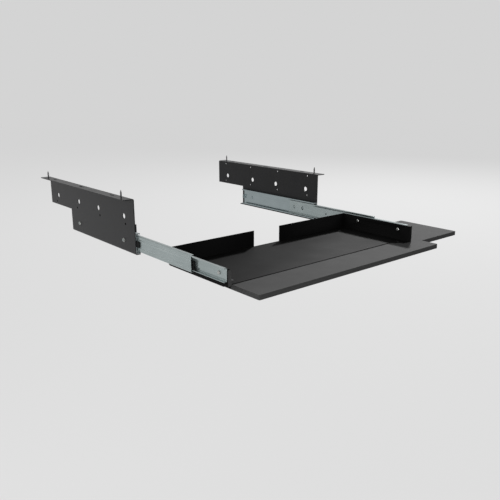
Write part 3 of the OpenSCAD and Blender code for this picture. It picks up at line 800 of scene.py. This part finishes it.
@dataclass
class Brackets(SubAssembly):
    """The two folded brackets, with a row of small drilled holes under the large ones."""

    edge_mm: float = 0.35
    drilled_z_mm: float = -60.0
    drilled_y_mm: tuple[float, ...] = (-181.5, -61.5, 58.5, 178.5)
    drilled_r_mm: float = 1.6
    rolled_mm: float = 1.0
    rolled_steps: int = 4
    slack_mm: float = 0.05

    def build(self) -> None:
        """Rounds the edges of both brackets, coats them and gives the walls of the drilled holes a
        near-black painted shade.
        """
        finish = [*BRACKET_COAT.pair(), HOLE_PAINTED_SHADE.face()]
        for side in Side:
            node = f"bracket_{side.value}"
            piece = self.mesh_copy(node, finish)
            self.roll_rims(piece)
            self.round_edges(piece, self.edge_mm)
            reach_mm = self.drilled_r_mm + self.rolled_mm
            # Painted shade: the walls of the drilled holes take a near-black coat.
            coat_faces(piece, Layer.SPECIAL,
                       lambda face: self.in_drilled_hole(face.center, reach_mm))
            self.dress(piece, node, "bracket_coat")

    def roll_rims(self, piece: bpy.types.Object) -> None:
        """Rolls the outer rims of the drilled holes over, as a punch leaves them.

        Args:
            piece: The bracket, before its edges are rounded.
        """
        reach_mm = self.drilled_r_mm + self.slack_mm
        rims = {corner.index: abs(corner.co.x) for corner in piece.data.vertices
                if self.in_drilled_hole(corner.co, reach_mm)}
        outer = max(rims.values()) - self.slack_mm * MM
        pick(piece, Element.EDGE,
             lambda edge: all(rims.get(index, 0.0) > outer for index in edge.vertices))
        with editing(piece, Element.EDGE):
            bpy.ops.mesh.bevel(offset=self.rolled_mm * MM, segments=self.rolled_steps,
                               affect="EDGES")

    def in_drilled_hole(self, place: Vector, reach_mm: float) -> bool:
        """Whether a point lies within a reach of the axis of one of the drilled holes."""
        return any(math.hypot(place.y - y * MM, place.z - self.drilled_z_mm * MM) < reach_mm * MM
                   for y in self.drilled_y_mm)


@dataclass
class DeskScrews(SubAssembly):
    """The wood screws that stand up out of the flanges.

    The tip narrows in steps, each with its share of the tip's length and of the width before it.
    """

    places: tuple[str, ...] = ("fl", "bl", "fr", "br")
    edge_mm: float = 0.2
    crisp_deg: float = 50.0
    head_cut_mm: float = 1.0
    core_r_mm: float = 1.5
    core_sides: int = 24
    core_in_mm: float = 1.2
    tip_mm: float = 4.0
    tip_gap_mm: float = 0.1
    tip_steps: tuple[tuple[float, float], ...] = ((0.5, 0.66), (0.35, 0.5), (0.15, 0.25))
    thread_r_mm: float = 2.08
    root_r_mm: float = 1.35
    pitch_mm: float = 1.8
    ridge_half_mm: float = 0.72
    crest_share: float = 0.12
    thread_start_mm: float = 1.08
    thread_steps: int = 16
    thread_merge_mm: float = 0.001

    def build(self) -> None:
        """Makes a threaded screw for each of the four places."""
        for place in self.places:
            self.screw(f"desk_screw_{place}", SCREW_PHOSPHATE.pair())

    def screw(self, node: str, finish: Materials) -> None:
        """Makes one screw from the node's head, a tapered core and a wound thread.

        Args:
            node: The node's name.
            finish: The finish of its faces and of its edges.
        """
        low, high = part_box(node)
        centre = (low + high) / 2
        head = self.mesh_copy(node, finish, f"{node}_head")
        with editing(head):
            bpy.ops.mesh.select_all(action="SELECT")
            bpy.ops.mesh.bisect(plane_co=(centre.x, centre.y, -self.head_cut_mm * MM),
                                plane_no=(0, 0, 1), use_fill=True, clear_outer=True)
        self.round_edges(head, self.edge_mm)
        top = high.z - self.tip_gap_mm * MM
        shank = [self.core(centre, top), self.thread(centre, top)]
        for part in shank:
            coat(part, finish)
            smooth(part, self.crisp_deg)
        self.dress(join([head, *shank], f"{node}_threaded"), node, "zinc_screw")

    def core(self, centre: Vector, top: float) -> bpy.types.Object:
        """Makes the tapered core of a screw.

        Args:
            centre: The middle of the screw's box.
            top: The height of its tip.

        Returns:
            The core.
        """
        low = -self.core_in_mm * MM
        straight = top - self.tip_mm * MM
        bpy.ops.mesh.primitive_cylinder_add(
            vertices=self.core_sides, radius=self.core_r_mm * MM, depth=straight - low,
            location=(centre.x, centre.y, (straight + low) / 2))
        core = bpy.context.object
        settle(core)
        pick(core, Element.FACE, lambda face: face.normal.z > FACING)
        with editing(core):
            for share, width in self.tip_steps:
                rise = (0, 0, share * self.tip_mm * MM)
                bpy.ops.mesh.extrude_region_move(TRANSFORM_OT_translate={"value": rise})
                bpy.ops.transform.resize(value=(width, width, 1))
        return core

    def thread(self, centre: Vector, top: float) -> bpy.types.Object:
        """Winds a wedge-shaped ridge round the core.

        Args:
            centre: The middle of the screw's box.
            top: The height of the screw's tip.

        Returns:
            The thread.
        """
        root, crest = self.root_r_mm * MM, self.thread_r_mm * MM
        foot = self.ridge_half_mm * MM
        edge = foot * self.crest_share
        turns = int((top / MM - self.tip_mm - self.pitch_mm) / self.pitch_mm)
        bpy.ops.mesh.primitive_plane_add(size=1, location=(0, 0, 0))
        ridge = bpy.context.object
        corners = ((root, -foot), (crest, -edge), (root, foot), (crest, edge))
        for corner, (x, z) in zip(ridge.data.vertices, corners):
            corner.co = (x, 0, z)
        merge = self.thread_merge_mm * MM
        apply_modifier(ridge, "SCREW", axis="Z", angle=2 * math.pi, iterations=turns,
                       screw_offset=self.pitch_mm * MM, steps=self.thread_steps,
                       render_steps=self.thread_steps, use_merge_vertices=True,
                       merge_threshold=merge)
        with editing(ridge):
            bpy.ops.mesh.select_all(action="SELECT")
            bpy.ops.mesh.remove_doubles(threshold=merge)
            bpy.ops.mesh.normals_make_consistent(inside=False)
        ridge.location = (centre.x, centre.y, self.thread_start_mm * MM)
        settle(ridge)
        return ridge


@dataclass
class Slides(SubAssembly):
    """The telescopic slides: three members a side, two ball cages and the release lever.

    The flats of a cage's strip lie square to an axis, and the faces of its balls do not.
    """

    member_edge_mm: float = 0.25
    square: float = 0.999
    ball_crisp_deg: float = 40.0
    lever_edge_mm: float = 0.3
    lever_edge_steps: int = 3
    rib_count: int = 4
    rib_pitch_mm: float = 2.2
    rib_w_mm: float = 1.1
    rib_proud_mm: float = 0.45
    rib_edge_mm: float = 0.2
    finger_in_mm: float = 5.0
    finger_w_mm: float = 4.0
    finger_top_mm: float = 2.6

    def build(self) -> None:
        """Dresses every piece of both slides."""
        for side in Side:
            rail = self.rounded_node(f"outer_rail_{side.value}",
                                     [*OUTER_ZINC_PAINTED_SHADE.pair(), SHEARED_STEEL.face()],
                                     self.member_edge_mm, "zinc_rail")
            coat_faces(rail, Layer.SPECIAL, lambda face: abs(face.normal.y) > FACING)
            for member in ("mid_rail", "inner_rail"):
                self.rounded_node(f"{member}_{side.value}", RAIL_ZINC.pair(),
                                  self.member_edge_mm, "zinc_rail")
            for cage in ("outer_cage", "inner_cage"):
                self.cage(f"{cage}_{side.value}")
            self.lever(side)
            self.rounded_node(f"rail_buffer_{side.value}", LEVER_PLASTIC.pair(),
                              self.lever_edge_mm, "black_plastic")

    def cage(self, node: str) -> None:
        """Dresses one ball cage, with its balls in their own finish.

        Args:
            node: The node's name.
        """
        piece = self.mesh_copy(node, [*CAGE_STEEL.pair(), BALL_STEEL.face()])
        coat_faces(piece, Layer.SPECIAL,
                   lambda face: max(abs(part) for part in face.normal) <= self.square)
        smooth(piece, self.ball_crisp_deg)
        self.dress(piece, node, "ball_cage")

    def lever(self, side: Side) -> None:
        """Dresses one release lever, with grip ribs across its finger.

        Args:
            side: The side it is on.
        """
        node = f"lever_{side.value}"
        piece = self.mesh_copy(node, LEVER_PLASTIC.pair())
        self.round_edges(piece, self.lever_edge_mm, self.lever_edge_steps)
        low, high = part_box(node)
        face_x = low.x if side is Side.LEFT else high.x
        middle_y = low.y + (self.finger_in_mm + self.finger_w_mm / 2) * MM
        size = (2 * self.rib_proud_mm * MM, self.finger_w_mm * MM, self.rib_w_mm * MM)
        ribs = []
        for i in range(self.rib_count):
            height = high.z - (self.finger_top_mm + i * self.rib_pitch_mm) * MM
            bpy.ops.mesh.primitive_cube_add(size=1.0, location=(face_x, middle_y, height),
                                            scale=size)
            rib = bpy.context.object
            settle(rib)
            coat(rib, [LEVER_PLASTIC.worn()])
            apply_modifier(rib, "BEVEL", width=self.rib_edge_mm * MM, segments=2,
                           limit_method="NONE")
            smooth(rib)
            ribs.append(rib)
        self.dress(join([piece, *ribs], piece.name), node, "black_plastic")


@dataclass
class TrayPan(SubAssembly):
    """The folded black pan, whose walls have folded front ends."""

    edge_mm: float = 0.35
    fold_mm: float = 3.0
    fold_facing: float = 0.6
    fold_drop_mm: float = 7.9
    floor_z_mm: float = -120.5

    def build(self) -> None:
        """Rounds the pan's edges and coats it; its left front fold is painted grey as painted light.
        """
        pan = self.mesh_copy("pan", [*PAN_COAT.pair(), FOLD_PAINTED_LIGHT_COAT.face()])
        self.lower_right_fold(pan)
        self.round_edges(pan, self.edge_mm)
        # Painted light: the forward faces of the left front fold take a grey coat.
        coat_faces(pan, Layer.SPECIAL,
                   lambda face: face.normal.y < -self.fold_facing and face.center.x < 0.0
                   and self.on_fold(face))
        self.dress(pan, "pan", "pan_coat")

    def lower_right_fold(self, pan: bpy.types.Object) -> None:
        """Draws the right wall's folded end down to the board, as one straight edge.

        Args:
            pan: The pan, before its edges are rounded.
        """
        pick(pan, Element.FACE,
             lambda face: face.normal.z < -FACING and face.center.x > 0.0 and self.on_fold(face))
        with editing(pan):
            bpy.ops.transform.translate(value=(0.0, 0.0, -self.fold_drop_mm * MM))

    def on_fold(self, face: bpy.types.MeshPolygon) -> bool:
        """Whether a face lies on one of the folded front ends of the walls."""
        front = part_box("pan")[0].y + self.fold_mm * MM
        return face.center.y < front and face.center.z > self.floor_z_mm * MM


@dataclass
class Boards(SubAssembly):
    """The keyboard board, the mouse board and the guides between them."""

    corner_mm: float = 0.8
    corner_steps: int = 3
    level: float = 0.5
    guide_edge_mm: float = 0.3

    def build(self) -> None:
        """Dresses both boards and both guides."""
        for node in ("keyboard_board", "mouse_board"):
            self.board(node)
        for end in ("front", "back"):
            self.rounded_node(f"mouse_guide_{end}", PAN_COAT.pair(), self.guide_edge_mm,
                              "pan_coat")

    def board(self, node: str) -> None:
        """Dresses one board: laminate above and below, a band round its edge.

        Args:
            node: The node's name.
        """
        finish = [BOARD_LAMINATE.face(), BOARD_LAMINATE.joint(), BOARD_LAMINATE.band()]
        piece = self.mesh_copy(node, finish)
        coat_faces(piece, Layer.SPECIAL, lambda face: abs(face.normal.z) <= self.level)
        self.round_edges(piece, self.corner_mm, self.corner_steps)
        self.dress(piece, node, "laminate")


@dataclass
class Fasteners(SubAssembly):
    """The small screws, nuts and rivets, each kind with its plate."""

    PLATES: ClassVar[dict[str, PlatedSteel]] = {
        "rail_screw": OUTER_ZINC_PAINTED_SHADE,
        "pan_screw": SCREW_PHOSPHATE,
        "wall_screw": SCREW_ZINC,
        "guide_screw": SCREW_ZINC,
        "mouse_stop": SCREW_ZINC,
        "lever_pin": SCREW_ZINC,
        "rail_nut": NUT_ZINC,
        "wall_nut": NUT_ZINC,
    }

    edge_mm: float = 0.16

    def build(self) -> None:
        """Rounds the edges of all the small fasteners and plates them."""
        for node in sorted(self.frame["nodes"]):
            plate = self.PLATES.get(node.rpartition("_")[0])
            if plate:
                self.rounded_node(node, plate.pair(), self.edge_mm, "zinc_screw")


# Studio


@dataclass(frozen=True)
class Softbox:
    """A square lamp that points at a place on the tray."""

    name: str
    place: Point
    aim: Point
    side_m: float
    watts: float

    def hang(self) -> None:
        """Hangs the lamp in its place and turns it to its aim."""
        data = bpy.data.lights.new(self.name, "AREA")
        data.shape = "SQUARE"
        data.size = self.side_m
        data.energy = self.watts
        lamp = bpy.data.objects.new(self.name, data)
        lamp.location = self.place
        towards = Vector(self.aim) - Vector(self.place)
        lamp.rotation_euler = towards.to_track_quat("-Z", "Y").to_euler()
        bpy.context.scene.collection.objects.link(lamp)


@dataclass
class Studio:
    """The floor, the pale surround, the lamps and the camera, in metres."""

    eye: Point = (-0.88824, -1.31677, 0.22284)
    tilt_deg: float = 74.83
    turn_deg: float = -40.27
    lens_mm: float = 42.86
    sensor_mm: float = 36.0
    sight: float = 50.0
    floor_z: float = -0.72
    floor_side: float = 30.0
    floor_roughness: float = 0.9
    floor_colour: str = "#dedede"
    floor_glow: str = "#e6e6e6"
    glow_share: float = 0.8
    sky: str = "#d4d4d4"
    ambient_colour: str = "#ffffff"
    ambient: float = 0.1
    softboxes: tuple[Softbox, ...] = (
        Softbox("top_softbox", (0.1, -0.2, 1.9), (0.0, -0.35, -0.1), 2.2, 1.5),
        Softbox("front_left_softbox", (-1.7, -1.9, 0.3), (-0.2, -0.45, -0.1), 1.4, 22.0),
        Softbox("left_softbox", (-1.0, -0.1, 0.05), (-0.28, -0.02, -0.06), 0.5, 2.9),
        Softbox("back_right_softbox", (4.5, 2.08, 3.22), (0.2, -0.4, -0.12), 0.6, 258.0),
    )

    def build(self) -> None:
        """Makes the whole studio."""
        self.camera()
        self.floor()
        self.surround_light()
        for softbox in self.softboxes:
            softbox.hang()
        bpy.context.scene.view_settings.view_transform = "Standard"

    def camera(self) -> None:
        """Sets the camera where the picture was taken from."""
        data = bpy.data.cameras.new("camera")
        data.sensor_width = self.sensor_mm
        data.lens = self.lens_mm
        data.clip_end = self.sight
        camera = bpy.data.objects.new("camera", data)
        camera.location = self.eye
        camera.rotation_euler = (math.radians(self.tilt_deg), 0.0, math.radians(self.turn_deg))
        bpy.context.scene.collection.objects.link(camera)
        bpy.context.scene.camera = camera

    def floor(self) -> None:
        """Lays a plain pale floor, as far below the tray as a room's floor."""
        bpy.ops.mesh.primitive_plane_add(size=self.floor_side, location=(0.0, 0.0, self.floor_z))
        floor = bpy.context.object
        floor.name = "studio_floor"
        settle(floor)
        material, tree, shader, _ = new_material("matt_floor_paint")
        feed(tree, shader, {"Base Color": linear(self.floor_colour),
                            "Roughness": self.floor_roughness})
        paint = shader.outputs[0]
        glow = add_node(tree, "ShaderNodeEmission",
                        values={"Color": linear(self.floor_glow), "Strength": 1.0}).outputs[0]
        pale = add_node(tree, "ShaderNodeMixShader", values={0: self.glow_share},
                        links={1: paint, 2: glow}).outputs[0]
        mixed = add_node(tree, "ShaderNodeMixShader",
                         links={0: self.seen_directly(tree), 1: paint, 2: pale}).outputs[0]
        feed(tree, tree.get_output_node("ALL"), links={"Surface": mixed})
        coat(floor, [material])

    def surround_light(self) -> None:
        """Gives the world a pale look to the camera and reflections, and a plain level of light."""
        world = bpy.data.worlds.new("studio_surround")
        bpy.context.scene.world = world
        world.use_nodes = True
        tree = world.node_tree
        tree.nodes.clear()
        pale = add_node(tree, "ShaderNodeBackground",
                        values={"Color": linear(self.sky), "Strength": 1.0}).outputs[0]
        light = add_node(tree, "ShaderNodeBackground",
                         values={"Color": linear(self.ambient_colour),
                                 "Strength": self.ambient}).outputs[0]
        mixed = add_node(tree, "ShaderNodeMixShader",
                         links={0: self.seen_directly(tree), 1: light, 2: pale}).outputs[0]
        add_node(tree, "ShaderNodeOutputWorld", links={"Surface": mixed})

    def seen_directly(self, tree: bpy.types.NodeTree) -> bpy.types.NodeSocket:
        """Says whether a surface is seen by the camera, in a reflection or through glass.

        Args:
            tree: The node tree.

        Returns:
            1 where it is seen so, and 0 where it only gives light.
        """
        path = add_node(tree, "ShaderNodeLightPath").outputs
        seen = add_node(tree, "ShaderNodeMath", {"operation": "MAXIMUM"},
                        links={0: path["Is Camera Ray"], 1: path["Is Glossy Ray"]}).outputs[0]
        return add_node(tree, "ShaderNodeMath", {"operation": "MAXIMUM"},
                        links={0: seen, 1: path["Is Transmission Ray"]}).outputs[0]


def main() -> None:
    """Builds the studio and every sub-assembly in order."""
    logging.basicConfig(level=logging.INFO, format="%(name)s: %(message)s")
    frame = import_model()
    Studio().build()
    for kind in (Brackets, DeskScrews, Slides, TrayPan, Boards, Fasteners):
        assembly = kind(frame)
        assembly.build()


if __name__ == "__main__":
    main()
